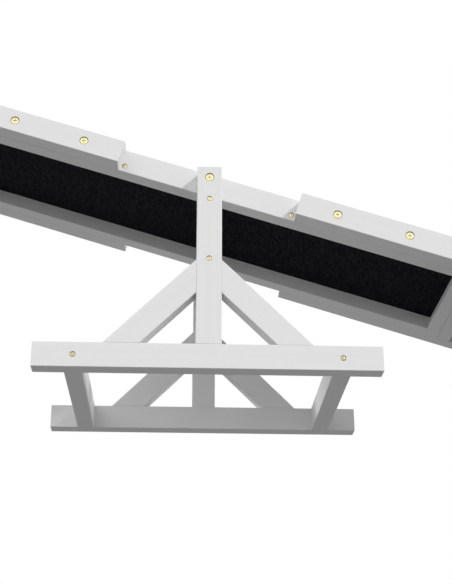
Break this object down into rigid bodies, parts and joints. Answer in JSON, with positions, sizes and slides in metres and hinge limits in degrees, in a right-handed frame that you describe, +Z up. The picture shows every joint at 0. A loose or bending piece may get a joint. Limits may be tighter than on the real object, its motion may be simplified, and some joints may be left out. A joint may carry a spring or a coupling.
{
  "type": "dog agility seesaw",
  "caption": "Wooden dog agility seesaw: three-section plank with a black deck, bolted together and tilting between two braced posts on an open timber base.",
  "frame": {"origin": "on the ground, straight under the middle of the pivot axis", "axes": "+X along the base rails towards the end of the plank that rests on the ground, +Y from the front post to the rear post along the pivot axis, +Z up"},
  "size_m": [3.5578, 0.602, 1.152],
  "materials": {
    "painted_timber": "planed softwood under thin white satin paint",
    "film_faced_plywood": "black phenolic film with a pressed mesh",
    "granulate_rubber": "bonded rubber granulate, matt",
    "contact_rubber": "bonded rubber granulate, matt yellow",
    "yellow_zinc_fixings": "bright yellow plating",
    "insert_steel": "turned, zinc plated",
    "bearing_bronze": "turned bearing bronze",
    "beech_dowel": "plain beech"
  },
  "bodies": {
    "stand": {"front_base_rail": "painted_timber", "rear_base_rail": "painted_timber", "left_base_crossbar": "painted_timber", "right_base_crossbar": "painted_timber", "front_post": "painted_timber", "rear_post": "painted_timber", "front_left_brace": "painted_timber", "front_right_brace": "painted_timber", "rear_left_brace": "painted_timber", "rear_right_brace": "painted_timber", "upper_spreader": "painted_timber", "lower_spreader": "painted_timber", "base_screws": "yellow_zinc_fixings", "spreader_screws": "yellow_zinc_fixings", "post_dowels": "beech_dowel", "brace_dowels": "beech_dowel", "front_pivot_bolt": "yellow_zinc_fixings", "rear_pivot_bolt": "yellow_zinc_fixings", "post_inserts": "insert_steel"},
    "plank": {"front_inner_rail": "painted_timber", "rear_inner_rail": "painted_timber", "left_centre_crossbar": "painted_timber", "right_centre_crossbar": "painted_timber", "centre_deck": "film_faced_plywood", "centre_mat": "granulate_rubber", "front_pivot_bush": "bearing_bronze", "rear_pivot_bush": "bearing_bronze", "centre_frame_screws": "yellow_zinc_fixings", "locating_screws": "yellow_zinc_fixings", "rail_inserts": "insert_steel", "left_front_outer_rail": "painted_timber", "left_rear_outer_rail": "painted_timber", "left_inner_crossbar": "painted_timber", "left_end_crossbar": "painted_timber", "left_deck": "film_faced_plywood", "left_mat": "granulate_rubber", "left_contact_mat": "contact_rubber", "left_frame_screws": "yellow_zinc_fixings", "left_joint_bolts": "yellow_zinc_fixings", "right_front_outer_rail": "painted_timber", "right_rear_outer_rail": "painted_timber", "right_inner_crossbar": "painted_timber", "right_end_crossbar": "painted_timber", "right_deck": "film_faced_plywood", "right_mat": "granulate_rubber", "right_contact_mat": "contact_rubber", "right_frame_screws": "yellow_zinc_fixings", "right_joint_bolts": "yellow_zinc_fixings"}
  },
  "joints": [
    {"name": "plank_tilt", "type": "hinge", "parent": "stand", "child": "plank", "pos_m": [0, 0, 0.576], "axis": [0, -1, 0], "range_deg": [0, 34.1]}
  ]
}
